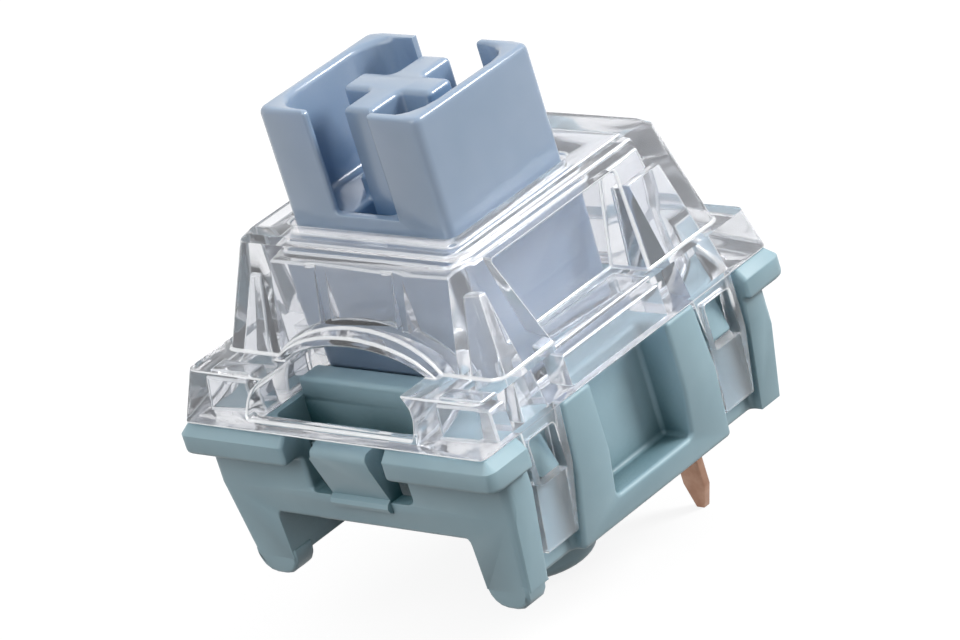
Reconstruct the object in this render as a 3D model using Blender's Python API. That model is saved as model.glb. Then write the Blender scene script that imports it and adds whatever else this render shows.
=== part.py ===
"""A keyboard switch for one key: a teal base with two contact pins, a clear snap-fit upper housing,
a sliding light-blue stem with a dust guard round its cross, a return spring, and a pair of contacts
that the stem's cam legs open and close.

Metres, +Z up. The origin lies under the middle of the centring post, level with the pin tips.
The light window and the front plate clip face -Y, and the contacts stand on the +Y side.
"""

import math

import bmesh
import bpy

# General gaps and steps
PAST = 0.001
SEAT_GAP = 0.00005
SLIDE_GAP = 0.00015
BURY = 0.0003
CORNER_STEPS = 4
ROUND_SIDES = 40
ARCH_STEPS = 20

# Heights above the pin tips
BOARD_Z = 0.0031
POST_END_Z = 0.0005
SEAT_HEIGHT = 0.0050
FLANGE_THICK = 0.0011
SEAT_Z = BOARD_Z + SEAT_HEIGHT
FLANGE_TOP_Z = SEAT_Z + FLANGE_THICK

# Travel of the stem
TRAVEL = 0.0040

# Base: body that drops into a square plate cut-out
BODY_HALF = 0.0070
PLATE_THICK = 0.0015
BODY_RADIUS = 0.0004
RAIL_BOTTOM_Z = 0.0038
FOOT_INSET_X = 0.0005
FOOT_INSET_Y = 0.0001
LEG_SLOPE_TOP_Z = 0.0072
LEG_SLOPE_IN = 0.0007
FLANGE_OVER_X = 0.00035
FLANGE_OVER_Y = 0.0008
FLANGE_RADIUS = 0.0004
FLANGE_EDGE = 0.00035

# Base: side faces
PILLAR_WIDTH = 0.00125
PANEL_DEPTH = 0.00075
PANEL_LEAN = 0.00025
LEG_ROOM = 0.00175
FRAME_FLARE = 0.0005
FRAME_POST = 0.0015
RECESS_WALL = 0.00125
FRAME_RAIL = 0.00105
CATCH_Z = 0.00725
CATCH_HEIGHT = 0.00135
CATCH_REACH = 0.0006

# Base: inside, floor and underside
FLOOR_Z = 0.0049
FLOOR_THICK = 0.0007
RAIL_INNER_X = 0.00455
WALL_FOOT_Z = 0.00565
FRONT_WALL = 0.0007
LAMP_SLOT_DEPTH = 0.0014
LAMP_SLOT_HALF = 0.0038
LAMP_LIP = 0.0007
LAMP_LIP_THICK = 0.0010
BACK_WALL = 0.0009
CONTACT_ROOM_HALF = 0.0046
CONTACT_ROOM_Y = 0.0036

# Base: post, spring guide and feet
POST_R = 0.00195
POST_CHAMFER = 0.00025
GUIDE_R = 0.0017
GUIDE_HEIGHT = 0.0016
FOOT_INSET = 0.0006
FOOT_WIDTH = 0.0019
FOOT_DEPTH = 0.0010
FOOT_ROUND = 0.00075
FOOT_EDGE = 0.0001

# Base: plate clips, front and back
CLIP_HALF = 0.00135
CLIP_SLOT = 0.0010
CLIP_SLOT_FOOT_Z = 0.00675
CLIP_HOOK_DROP = 0.00035
CLIP_REACH = 0.00055
CLIP_NOSE_R = 0.0003
CLIP_BARB = 0.00022

# Clear upper housing
PLINTH_STEP_X = 0.0003
PLINTH_STEP_Y = 0.00015
PLINTH_HEIGHT = 0.00165
PLINTH_LEAN_X = 0.0001
PLINTH_LEAN_FRONT = 0.0008
PLINTH_LEAN_BACK = 0.0005
PLINTH_RADIUS = 0.00035
HOOD_STEP_X = 0.0001
HOOD_STEP_FRONT = 0.00195
HOOD_STEP_BACK = 0.00115
HOOD_LEAN_X = 0.00165
HOOD_LEAN_FRONT = 0.0014
HOOD_LEAN_BACK = 0.0006
HOOD_HEIGHT = 0.0056
HOOD_RADIUS = 0.0005
HOOD_EDGE = 0.0002
ROOF_THICK = 0.0010
HOOD_WALL = 0.0007
SIDE_RECESS_HALF_TOP = 0.0032
SIDE_RECESS_HALF_FOOT = 0.0025
SIDE_RECESS_WALL = 0.0006
SIDE_RECESS_ROOF = 0.00065
CORE_WALL = 0.00055
SKIRT_LEDGE = 0.0005

# Clear upper housing: light window at the front
WINDOW_HALF = 0.0039
WINDOW_BAR = 0.0004
WINDOW_BAR_DEPTH = 0.0006
VAULT_SPRING_RISE = 0.00065
VAULT_RISE = 0.0018
VAULT_THICK = 0.0004
VAULT_REAR_GAP = 0.0006
VAULT_COLLAR = 0.0003
RIB_X = 0.0018
RIB_THICK = 0.0005
RIB_DEPTH = 0.0005

# Clear upper housing: clip legs
LEG_END_Z = 0.0046
LEG_BAR_WIDTH = 0.0003

# Stem
GUARD_HALF_X = 0.00374
GUARD_FRONT_Y = 0.00305
GUARD_BACK_Y = 0.00285
GUARD_RISE = 0.0003
GUARD_WALL = 0.0005
GUARD_LIP = 0.0003
GUARD_RADIUS = 0.00035
LIP_END_X = 0.00145
GUARD_INNER_RADIUS = 0.0013
SILL_RISE = 0.00145
WELL_RISE = 0.0008
WELL_HALF = 0.0009
WEB_WIDTH = 0.0006
WEB_RISE = 0.0009
CROSS_HEIGHT = 0.0050
CROSS_HALF = 0.00205
CROSS_ARM_X = 0.00117
CROSS_ARM_Y = 0.00131
SKIRT_HALF_X = 0.0040
SKIRT_FRONT_Y = 0.0034
SKIRT_BACK_Y = 0.0029
SKIRT_BOTTOM_Z = 0.0094
SPRING_ROOF_Z = 0.0130
POLE_R = 0.0010
POLE_END_Z = 0.0055
POLE_TIP = 0.0002
CAM_X = 0.0017
CAM_WIDTH = 0.0010
CAM_LEG_Y = 0.0034
CAM_Y = 0.00412
CAM_Z = 0.0105
CAM_FLAT = 0.0008
CAM_SLOPE = 0.0006

# Return spring
WIRE_R = 0.000125
COIL_R = 0.00205
COIL_TURNS = 13
CLOSED_TURNS = 1.5
TURN_POINTS = 18
SPRING_POCKET_GAP = 0.00015

# Contacts
SHEET = 0.0003
FIXED_PIN_X = -0.00381
FIXED_PIN_Y = 0.00254
FIXED_PIN_WIDTH = 0.0008
MOVING_PIN_X = 0.00295
MOVING_PIN_Y = 0.00508
MOVING_PIN_WIDTH = 0.0010
PIN_TIP_HALF = 0.00018
PIN_TIP_LENGTH = 0.0009
PIN_SLOT_GAP = 0.0001
FIXED_SHEET_GAP = 0.00025
FIXED_STRIP_HEIGHT = 0.00025
FIXED_WING_INNER_X = 0.0026
FIXED_WING_TOP_Z = 0.0080
UPRIGHT_HALF = 0.0007
UPRIGHT_TOP_Z = 0.0110
TERMINAL_HALF = 0.0022
TERMINAL_TOP_Z = 0.0060
LEAF_THICK = 0.00015
LEAF_HALF = 0.0022
LEAF_ARM = 0.0010
LEAF_BASE_Z = 0.0050
LEAF_BEND_Z = 0.00595
LEAF_RUN_Z = 0.0068
LEAF_TOP_Z = 0.0109
LEAF_FRONT_Y = 0.0043
LEAF_BAND = 0.0013
LEAF_SEAT_GAP = 0.00003
POINT_Z = 0.0103
POINT_LENGTH = 0.0008
POINT_HALF = 0.00023
FIXED_POINT_RISE = 0.00028
MOVING_POINT_RISE = 0.00018

# Sizes worked out from the ones above
FLANGE_HALF_X = BODY_HALF + FLANGE_OVER_X
FLANGE_HALF_Y = BODY_HALF + FLANGE_OVER_Y
PLINTH_HALF_X = FLANGE_HALF_X - PLINTH_STEP_X
PLINTH_HALF_Y = FLANGE_HALF_Y - PLINTH_STEP_Y
PLINTH_TOP_X = PLINTH_HALF_X - PLINTH_LEAN_X
PLINTH_TOP_FRONT_Y = PLINTH_HALF_Y - PLINTH_LEAN_FRONT
PLINTH_TOP_BACK_Y = PLINTH_HALF_Y - PLINTH_LEAN_BACK
PILLAR_INNER_Y = BODY_HALF - PILLAR_WIDTH
PANEL_X = BODY_HALF - PANEL_DEPTH
FRAME_HALF_FOOT = PILLAR_INNER_Y - LEG_ROOM
FRAME_HALF_TOP = FRAME_HALF_FOOT - FRAME_FLARE
RECESS_HALF = FRAME_HALF_TOP - FRAME_POST
LEG_OUTER_Y = PILLAR_INNER_Y - SLIDE_GAP
PLINTH_BASE_Z = FLANGE_TOP_Z + SEAT_GAP
PLINTH_TOP_Z = PLINTH_BASE_Z + PLINTH_HEIGHT
VAULT_SPRING_Z = PLINTH_BASE_Z + VAULT_SPRING_RISE
HOOD_TOP_Z = PLINTH_BASE_Z + HOOD_HEIGHT
HOOD_HALF_X = PLINTH_HALF_X - HOOD_STEP_X
HOOD_FRONT_Y = PLINTH_HALF_Y - HOOD_STEP_FRONT
HOOD_BACK_Y = PLINTH_HALF_Y - HOOD_STEP_BACK
CHAMBER_HALF_X = SKIRT_HALF_X + SLIDE_GAP
CHAMBER_FRONT_Y = -(SKIRT_FRONT_Y + SLIDE_GAP)
CHAMBER_BACK_Y = BODY_HALF - BACK_WALL
RECESS_BACK_X = CHAMBER_HALF_X + RECESS_WALL
RECESS_FLOOR_Z = RAIL_BOTTOM_Z + FRAME_RAIL
LAMP_FRONT_Y = -(BODY_HALF - FRONT_WALL)
LAMP_BACK_Y = LAMP_FRONT_Y + LAMP_SLOT_DEPTH
LAMP_LIP_TOP_Z = FLANGE_TOP_Z + LAMP_LIP
BORE_R = POLE_R + SLIDE_GAP
BORE_END_Z = POLE_END_Z - TRAVEL - BURY
ROOF_UNDER_Z = HOOD_TOP_Z - ROOF_THICK
SKIRT_TOP_Z = ROOF_UNDER_Z - SEAT_GAP
CROSS_TOP_Z = SKIRT_TOP_Z + CROSS_HEIGHT
GUARD_TOP_Z = CROSS_TOP_Z + GUARD_RISE
SILL_Z = SKIRT_TOP_Z + SILL_RISE
WELL_Z = SKIRT_TOP_Z + WELL_RISE
GUARD_INNER_X = GUARD_HALF_X - GUARD_WALL
SPRING_BOTTOM_Z = FLOOR_Z + SEAT_GAP
SPRING_TOP_Z = SPRING_ROOF_Z - SEAT_GAP
FIXED_SHEET_Y = SKIRT_BACK_Y + FIXED_SHEET_GAP
TERMINAL_Y = MOVING_PIN_Y - SHEET / 2
LEAF_BASE_Y = TERMINAL_Y - LEAF_SEAT_GAP - LEAF_THICK
LEAF_HINGE_Y = LEAF_BASE_Y + LEAF_THICK / 2
CONTACT_FOOT_Z = FLOOR_Z + SEAT_GAP


# Outlines


def arc(centre_u, centre_v, radius_u, radius_v, start, end, steps):
    """Points of an elliptic arc from one angle to another, in degrees."""
    points = []
    for step in range(steps + 1):
        angle = math.radians(start + (end - start) * step / steps)
        points.append((centre_u + radius_u * math.cos(angle), centre_v + radius_v * math.sin(angle)))
    return points


def rounded(u0, u1, v0, v1, *radii):
    """Anticlockwise rectangle. Radii are for its corners from the lower right round; one serves all."""
    right_low, right_high, left_high, left_low = radii if len(radii) == 4 else radii * 4
    return (
        arc(u1 - right_low, v0 + right_low, right_low, right_low, -90, 0, CORNER_STEPS)
        + arc(u1 - right_high, v1 - right_high, right_high, right_high, 0, 90, CORNER_STEPS)
        + arc(u0 + left_high, v1 - left_high, left_high, left_high, 90, 180, CORNER_STEPS)
        + arc(u0 + left_low, v0 + left_low, left_low, left_low, 180, 270, CORNER_STEPS)
    )


def square(u0, u1, v0, v1):
    """Sharp anticlockwise rectangle, its limits given in either order."""
    low_u, high_u = sorted((u0, u1))
    low_v, high_v = sorted((v0, v1))
    return [(low_u, low_v), (high_u, low_v), (high_u, high_v), (low_u, high_v)]


def circle(radius, centre_u=0.0, centre_v=0.0):
    """A full turn of points round a centre."""
    return arc(centre_u, centre_v, radius, radius, 0, 360, ROUND_SIDES)[:-1]


def level(outline, height):
    """An outline in plan, lifted to a height."""
    return [(u, v, height) for u, v in outline]


# Bodies


def loft(bm, rings):
    """One closed body through matching rings, with a cap on the first and on the last."""
    loops = [[bm.verts.new(point) for point in ring] for ring in rings]
    count = len(loops[0])
    for near, far in zip(loops, loops[1:]):
        for index in range(count):
            after = (index + 1) % count
            bm.faces.new((near[index], near[after], far[after], far[index]))
    bm.faces.new(loops[0][::-1])
    bm.faces.new(loops[-1])


def prism_z(bm, outline, low, high):
    """An outline in plan, carried straight up."""
    loft(bm, [level(outline, low), level(outline, high)])


def prism_y(bm, outline, low, high):
    """An outline of (x, z) points, carried along Y."""
    loft(bm, [[(u, y, v) for u, v in outline] for y in (low, high)])


def prism_x(bm, outline, low, high):
    """An outline of (y, z) points, carried along X."""
    loft(bm, [[(x, u, v) for u, v in outline] for x in (low, high)])


def block(bm, x_range, y_range, z_range):
    """A plain rectangular block, with each range given in either order."""
    prism_z(bm, square(*x_range, *y_range), *sorted(z_range))


def shaped(name, draw):
    """A new object from a function that draws closed bodies into a bmesh."""
    bm = bmesh.new()
    draw(bm)
    bmesh.ops.recalc_face_normals(bm, faces=bm.faces)
    mesh = bpy.data.meshes.new(name)
    bm.to_mesh(mesh)
    bm.free()
    obj = bpy.data.objects.new(name, mesh)
    bpy.context.scene.collection.objects.link(obj)
    return obj


def combine(target, name, draw, operation):
    """Add to or cut from a target with a shape that stays in the scene as a hidden guide."""
    tool = shaped(name, draw)
    tool.hide_render = True
    tool.display_type = "WIRE"
    modifier = target.modifiers.new(name, "BOOLEAN")
    modifier.operation = operation
    modifier.solver = "EXACT"
    modifier.object = tool


def add(target, name, draw):
    """Fuse a shape to the target."""
    combine(target, name, draw, "UNION")


def cut(target, name, draw):
    """Take a shape out of the target."""
    combine(target, name, draw, "DIFFERENCE")


def corners():
    """The four corner signs, in x and in y."""
    return [(side, end) for side in (-1, 1) for end in (-1, 1)]


# Base


def draw_body(bm):
    """Square body, upright through the plate and leaning in below it."""
    upright = rounded(-BODY_HALF, BODY_HALF, -BODY_HALF, BODY_HALF, BODY_RADIUS)
    foot_x = BODY_HALF - FOOT_INSET_X
    foot_y = BODY_HALF - FOOT_INSET_Y
    foot = rounded(-foot_x, foot_x, -foot_y, foot_y, BODY_RADIUS)
    rings = [level(foot, RAIL_BOTTOM_Z), level(upright, SEAT_Z - PLATE_THICK), level(upright, FLANGE_TOP_Z)]
    loft(bm, rings)


def draw_flange(bm):
    """Flange that rests on the plate, with a small slope round its upper edge."""
    full = rounded(-FLANGE_HALF_X, FLANGE_HALF_X, -FLANGE_HALF_Y, FLANGE_HALF_Y, FLANGE_RADIUS)
    top_x = FLANGE_HALF_X - FLANGE_EDGE
    top_y = FLANGE_HALF_Y - FLANGE_EDGE
    upper = rounded(-top_x, top_x, -top_y, top_y, FLANGE_RADIUS - FLANGE_EDGE)
    loft(bm, [level(full, SEAT_Z), level(full, FLANGE_TOP_Z - FLANGE_EDGE), level(upper, FLANGE_TOP_Z)])


def draw_side_gaps(bm):
    """Flange taken off between the corner pillars, left and right."""
    for side in (-1, 1):
        x_range = (side * BODY_HALF, side * (FLANGE_HALF_X + PAST))
        block(bm, x_range, (-PILLAR_INNER_Y, PILLAR_INNER_Y), (SEAT_Z - PAST, FLANGE_TOP_Z + PAST))


def leg_slope_x(height):
    """How far out the corner legs' sloping outer faces stand at a height."""
    return BODY_HALF - LEG_SLOPE_IN * (LEG_SLOPE_TOP_Z - height) / (LEG_SLOPE_TOP_Z - BOARD_Z)


def draw_leg_slopes(bm):
    """Outer faces of the corner legs, which lean in towards the feet."""
    low = BOARD_Z - PAST
    for side, end in corners():
        outer = side * (BODY_HALF + PAST)
        foot = side * leg_slope_x(low)
        profile = [(side * BODY_HALF, LEG_SLOPE_TOP_Z), (outer, LEG_SLOPE_TOP_Z), (outer, low), (foot, low)]
        ends = sorted((end * PILLAR_INNER_Y, end * (BODY_HALF + PAST)))
        prism_y(bm, profile, *ends)


def panel_x(height):
    """How far out a side panel stands at a height."""
    return PANEL_X - PANEL_LEAN * (FLANGE_TOP_Z - height) / (FLANGE_TOP_Z - RAIL_BOTTOM_Z)


def frame_half(height):
    """Half width of a side's middle frame, which flares towards its foot."""
    return FRAME_HALF_TOP + FRAME_FLARE * (FLANGE_TOP_Z - height) / (FLANGE_TOP_Z - RAIL_BOTTOM_Z)


def draw_side_pockets(bm):
    """Pockets for the clip legs, between the middle frame and the corner pillars."""
    for side, end in corners():
        rings = []
        for height in (RAIL_BOTTOM_Z - PAST, FLANGE_TOP_Z + PAST):
            x0, x1 = side * panel_x(height), side * (BODY_HALF + PAST)
            rings.append(level(square(x0, x1, end * frame_half(height), end * PILLAR_INNER_Y), height))
        loft(bm, rings)


def draw_side_recesses(bm):
    """Deep recess inside the frame in the middle of each side."""
    for side in (-1, 1):
        x_range = (side * RECESS_BACK_X, side * (BODY_HALF + PAST))
        block(bm, x_range, (-RECESS_HALF, RECESS_HALF), (RECESS_FLOOR_Z, FLANGE_TOP_Z + PAST))


def draw_underside(bm):
    """Hollow under the floor and the back wall, higher beneath the front wall."""
    low, roof = RAIL_BOTTOM_Z - PAST, FLOOR_Z - FLOOR_THICK
    outer = BODY_HALF + PAST
    profile = [
        (-outer, low), (outer, low), (outer, roof), (LAMP_BACK_Y, roof),
        (LAMP_BACK_Y, WALL_FOOT_Z), (-outer, WALL_FOOT_Z),
    ]
    prism_x(bm, profile, -RAIL_INNER_X, RAIL_INNER_X)


def draw_lamp_slot(bm):
    """Slot for a lamp behind the front wall, open above and below."""
    x_range = (-LAMP_SLOT_HALF, LAMP_SLOT_HALF)
    block(bm, x_range, (LAMP_FRONT_Y, LAMP_BACK_Y), (RAIL_BOTTOM_Z - PAST, FLANGE_TOP_Z + PAST))


def draw_chamber(bm):
    """Chamber that guides the stem, wider where the contacts stand."""
    outline = [
        (-CHAMBER_HALF_X, CHAMBER_FRONT_Y), (CHAMBER_HALF_X, CHAMBER_FRONT_Y),
        (CHAMBER_HALF_X, CONTACT_ROOM_Y), (CONTACT_ROOM_HALF, CONTACT_ROOM_Y),
        (CONTACT_ROOM_HALF, CHAMBER_BACK_Y), (-CONTACT_ROOM_HALF, CHAMBER_BACK_Y),
        (-CONTACT_ROOM_HALF, CONTACT_ROOM_Y), (-CHAMBER_HALF_X, CONTACT_ROOM_Y),
    ]
    prism_z(bm, outline, FLOOR_Z, FLANGE_TOP_Z + PAST)


def draw_clip_gaps(bm):
    """Slots each side of a plate clip, and the flange taken off the clip itself."""
    for end in (-1, 1):
        inside = LAMP_FRONT_Y + BURY if end < 0 else -CHAMBER_BACK_Y + BURY
        y_range = (end * -inside, end * (FLANGE_HALF_Y + PAST))
        for side in (-1, 1):
            x_range = (side * CLIP_HALF, side * (CLIP_HALF + CLIP_SLOT))
            block(bm, x_range, y_range, (CLIP_SLOT_FOOT_Z, FLANGE_TOP_Z + PAST))


def draw_clip_bed(bm):
    """Room for the clips' own outline, in front of and behind the body."""
    for end in (-1, 1):
        y_range = (end * (BODY_HALF - BURY), end * (FLANGE_HALF_Y + PAST))
        block(bm, (-CLIP_HALF, CLIP_HALF), y_range, (CLIP_SLOT_FOOT_Z, FLANGE_TOP_Z + PAST))


def draw_clips(bm):
    """Springy plate clips: a round-topped hook that slopes in to a low barb under the plate."""
    hook_z = FLANGE_TOP_Z - CLIP_HOOK_DROP
    plate_under_z = SEAT_Z - PLATE_THICK
    inner = BODY_HALF - 2 * BURY
    nose_y, nose_z = BODY_HALF + CLIP_REACH - CLIP_NOSE_R, hook_z - CLIP_NOSE_R
    profile = [(inner, WALL_FOOT_Z + BURY), (BODY_HALF - CLIP_BARB, WALL_FOOT_Z + BURY)]
    profile += arc(BODY_HALF - CLIP_BARB, plate_under_z, 2 * CLIP_BARB, CLIP_NOSE_R, -60, 60, CORNER_STEPS)
    profile += arc(nose_y, nose_z, CLIP_NOSE_R, CLIP_NOSE_R, -20, 90, CORNER_STEPS)
    profile += [(inner, hook_z)]
    for end in (-1, 1):
        prism_x(bm, [(end * y, z) for y, z in profile], -CLIP_HALF, CLIP_HALF)


def draw_lamp_lip(bm):
    """Wall behind the lamp slot, standing up into the light window."""
    half = LAMP_SLOT_HALF - SEAT_GAP
    y_range = (LAMP_BACK_Y, LAMP_BACK_Y + LAMP_LIP_THICK)
    block(bm, (-half, half), y_range, (FLANGE_TOP_Z - BURY, LAMP_LIP_TOP_Z))


def leg_window(height):
    """How far out a clip leg's window starts and ends along Y, for its foot at a height."""
    return frame_half(height) + SEAT_GAP + LEG_BAR_WIDTH, LEG_OUTER_Y - LEG_BAR_WIDTH


def draw_catches(bm):
    """Wedges on the side panels, flat below, that the clip legs snap over."""
    inner, outer = leg_window(CATCH_Z)
    foot_x, top_x = panel_x(CATCH_Z), panel_x(CATCH_Z + CATCH_HEIGHT)
    for side, end in corners():
        profile = [
            (side * (foot_x - BURY), CATCH_Z), (side * (foot_x + CATCH_REACH), CATCH_Z),
            (side * top_x, CATCH_Z + CATCH_HEIGHT), (side * (top_x - BURY), CATCH_Z + CATCH_HEIGHT),
        ]
        ends = sorted((end * (inner + SLIDE_GAP), end * (outer - SLIDE_GAP)))
        prism_y(bm, profile, *ends)


def draw_feet(bm):
    """Blunt round feet under the front legs, which stop on the circuit board."""
    front = -(BODY_HALF - FOOT_INSET_Y)
    for side in (-1, 1):
        u0, u1 = sorted((side * (BODY_HALF - FOOT_INSET), side * (BODY_HALF - FOOT_INSET - FOOT_WIDTH)))
        rings = []
        for inset, y in ((FOOT_EDGE, front), (0.0, front + FOOT_EDGE),
                         (0.0, front + FOOT_DEPTH - FOOT_EDGE), (FOOT_EDGE, front + FOOT_DEPTH)):
            round_low = FOOT_ROUND - inset
            outline = rounded(u0 + inset, u1 - inset, BOARD_Z + inset, RAIL_BOTTOM_Z + BURY,
                              round_low, FOOT_EDGE, FOOT_EDGE, round_low)
            rings.append([(u, y, v) for u, v in outline])
        loft(bm, rings)


def draw_post(bm):
    """Centring post with a bevelled end, and the spring's guide on the floor above it."""
    slim = POST_R - POST_CHAMFER
    rings = [level(circle(slim), POST_END_Z), level(circle(POST_R), POST_END_Z + POST_CHAMFER)]
    rings += [level(circle(POST_R), FLOOR_Z - BURY), level(circle(GUIDE_R), FLOOR_Z - BURY)]
    rings += [level(circle(GUIDE_R), FLOOR_Z + GUIDE_HEIGHT)]
    loft(bm, rings)


def draw_pole_bore(bm):
    """Blind bore down the post for the stem's pole."""
    prism_z(bm, circle(BORE_R), BORE_END_Z, FLOOR_Z + GUIDE_HEIGHT + PAST)


def draw_pin_slots(bm):
    """Slots through the floor for the two contact pins."""
    pins = ((FIXED_PIN_X, FIXED_PIN_Y, FIXED_PIN_WIDTH), (MOVING_PIN_X, MOVING_PIN_Y, MOVING_PIN_WIDTH))
    for x, y, width in pins:
        half_x = width / 2 + PIN_SLOT_GAP
        half_y = SHEET / 2 + PIN_SLOT_GAP
        z_range = (RAIL_BOTTOM_Z - PAST, FLANGE_TOP_Z + PAST)
        block(bm, (x - half_x, x + half_x), (y - half_y, y + half_y), z_range)


def make_bottom_housing():
    """Moulded base: flange, frame sides, chamber, plate clips, feet and post."""
    housing = shaped("bottom_housing", draw_body)
    add(housing, "flange", draw_flange)
    cut(housing, "side_gaps", draw_side_gaps)
    cut(housing, "side_pockets", draw_side_pockets)
    cut(housing, "side_recesses", draw_side_recesses)
    cut(housing, "underside", draw_underside)
    cut(housing, "leg_slopes", draw_leg_slopes)
    add(housing, "post", draw_post)
    cut(housing, "lamp_slot", draw_lamp_slot)
    cut(housing, "clip_gaps", draw_clip_gaps)
    cut(housing, "clip_bed", draw_clip_bed)
    add(housing, "clips", draw_clips)
    cut(housing, "chamber", draw_chamber)
    add(housing, "spring_guide", draw_post)
    add(housing, "lamp_lip", draw_lamp_lip)
    add(housing, "catches", draw_catches)
    add(housing, "feet", draw_feet)
    cut(housing, "pole_bore", draw_pole_bore)
    cut(housing, "pin_slots", draw_pin_slots)
    return housing


# Clear upper housing


def hood_share(height):
    """How far up the hood a height is, from 0 at its base to 1 at its top."""
    return (height - PLINTH_BASE_Z) / HOOD_HEIGHT


def hood_half_x(height):
    """The hood's half width in x at a height."""
    return HOOD_HALF_X - HOOD_LEAN_X * hood_share(height)


def hood_front_y(height):
    """How far the hood's front stands before the axis at a height."""
    return HOOD_FRONT_Y - HOOD_LEAN_FRONT * hood_share(height)


def hood_back_y(height):
    """How far the hood's back stands behind the axis at a height."""
    return HOOD_BACK_Y - HOOD_LEAN_BACK * hood_share(height)


def draw_plinth(bm):
    """Low plinth on the flange, leaning in most at the front."""
    base = rounded(-PLINTH_HALF_X, PLINTH_HALF_X, -PLINTH_HALF_Y, PLINTH_HALF_Y, PLINTH_RADIUS)
    top = rounded(-PLINTH_TOP_X, PLINTH_TOP_X, -PLINTH_TOP_FRONT_Y, PLINTH_TOP_BACK_Y, PLINTH_RADIUS)
    loft(bm, [level(base, PLINTH_BASE_Z), level(top, PLINTH_TOP_Z)])


def draw_hood(bm):
    """Tapered hood with a softened upper edge."""
    rings = []
    for inset, height in ((0.0, PLINTH_BASE_Z), (0.0, HOOD_TOP_Z - HOOD_EDGE), (HOOD_EDGE, HOOD_TOP_Z)):
        half_x = hood_half_x(height) - inset
        front, back = hood_front_y(height) - inset, hood_back_y(height) - inset
        rings.append(level(rounded(-half_x, half_x, -front, back, HOOD_RADIUS), height))
    loft(bm, rings)


def draw_hood_cavity(bm):
    """Room for the stem and the contacts, open below."""
    rings = []
    for height in (PLINTH_BASE_Z - PAST, ROOF_UNDER_Z):
        front, back = hood_front_y(height) - HOOD_WALL, hood_back_y(height) - HOOD_WALL
        rings.append(level(square(-CHAMBER_HALF_X, CHAMBER_HALF_X, -front, back), height))
    loft(bm, rings)


def draw_stem_opening(bm):
    """Opening in the roof that the dust guard slides through."""
    half_x = GUARD_HALF_X + SLIDE_GAP
    front, back = GUARD_FRONT_Y + SLIDE_GAP, GUARD_BACK_Y + SLIDE_GAP
    outline = rounded(-half_x, half_x, -front, back, GUARD_RADIUS)
    prism_z(bm, outline, ROOF_UNDER_Z - PAST, HOOD_TOP_Z + PAST)


def draw_hood_recesses(bm):
    """Recess outside each side of the hood, narrower at its foot, under a strip of roof."""
    back_x = CHAMBER_HALF_X + SIDE_RECESS_WALL
    outer_x = HOOD_HALF_X + PAST
    roof = HOOD_TOP_Z - SIDE_RECESS_ROOF
    for side in (-1, 1):
        rings = []
        for half, height in ((SIDE_RECESS_HALF_FOOT, PLINTH_TOP_Z), (SIDE_RECESS_HALF_TOP, roof)):
            rings.append(level(square(side * back_x, side * outer_x, -half, half), height))
        loft(bm, rings)


def draw_corner_cores(bm):
    """Hollows up into the corner towers from below, which keep the walls even."""
    inner_x = CHAMBER_HALF_X + CORE_WALL
    low, high = PLINTH_BASE_Z - PAST, ROOF_UNDER_Z - CORE_WALL
    for side, end in corners():
        rings = []
        for height in (low, high):
            outer_x = hood_half_x(height) - CORE_WALL
            inner_y = SIDE_RECESS_HALF_TOP + CORE_WALL
            outer_y = (hood_front_y(height) if end < 0 else hood_back_y(height)) - HOOD_WALL
            rings.append(level(square(side * inner_x, side * outer_x, end * inner_y, end * outer_y), height))
        loft(bm, rings)


def draw_plinth_cores(bm):
    """Hollows in the plinth's corner blocks and in the skirt below each side recess, from below."""
    low, high = PLINTH_BASE_Z - PAST, PLINTH_TOP_Z - SKIRT_LEDGE
    inner_x = WINDOW_HALF + CORE_WALL
    outer_x = PLINTH_TOP_X - CORE_WALL
    inner_y = HOOD_FRONT_Y - CORE_WALL / 4
    outer_y = PLINTH_TOP_FRONT_Y - CORE_WALL
    for side in (-1, 1):
        block(bm, (side * inner_x, side * outer_x), (-inner_y, -outer_y), (low, high))
    skirt_y = SIDE_RECESS_HALF_FOOT
    for side in (-1, 1):
        x_range = (side * (CHAMBER_HALF_X + SIDE_RECESS_WALL), side * outer_x)
        block(bm, x_range, (-skirt_y, skirt_y), (low, high))


def arch_outline(half, rise, foot_z):
    """Upright sides and an elliptic crown, from the right foot round to the left foot."""
    crown = arc(0.0, VAULT_SPRING_Z, half, rise, 0, 180, ARCH_STEPS)
    return [(half, foot_z)] + crown + [(-half, foot_z)]


def draw_vault(bm):
    """Outside of the vault over the lamp, from a collar before the hood back towards the stem."""
    outline = arch_outline(WINDOW_HALF + VAULT_THICK, VAULT_RISE + VAULT_THICK, PLINTH_BASE_Z)
    front = -(hood_front_y(PLINTH_TOP_Z) + VAULT_COLLAR)
    prism_y(bm, outline, front, -(SKIRT_FRONT_Y + VAULT_REAR_GAP))


def draw_vault_opening(bm):
    """The arch cut through the plinth's front and the hood's front wall, above the window's bar."""
    outline = arch_outline(WINDOW_HALF, VAULT_RISE, PLINTH_BASE_Z + WINDOW_BAR)
    prism_y(bm, outline, -(PLINTH_HALF_Y + PAST), -(SKIRT_FRONT_Y + SLIDE_GAP))


def draw_bar_gap(bm):
    """Room for the lamp behind the window's bar, open below."""
    y_range = (-(PLINTH_HALF_Y - WINDOW_BAR_DEPTH), -(SKIRT_FRONT_Y + SLIDE_GAP))
    z_range = (PLINTH_BASE_Z - PAST, PLINTH_BASE_Z + WINDOW_BAR + BURY)
    block(bm, (-WINDOW_HALF, WINDOW_HALF), y_range, z_range)


def draw_window_ribs(bm):
    """Two stiffening ribs inside the front wall above the vault."""
    foot = VAULT_SPRING_Z + VAULT_RISE
    wall = hood_front_y(foot) - HOOD_WALL
    for side in (-1, 1):
        x_range = (side * RIB_X - RIB_THICK / 2, side * RIB_X + RIB_THICK / 2)
        block(bm, x_range, (-wall - BURY / 2, -wall + RIB_DEPTH), (foot, ROOF_UNDER_Z + BURY))


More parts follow.
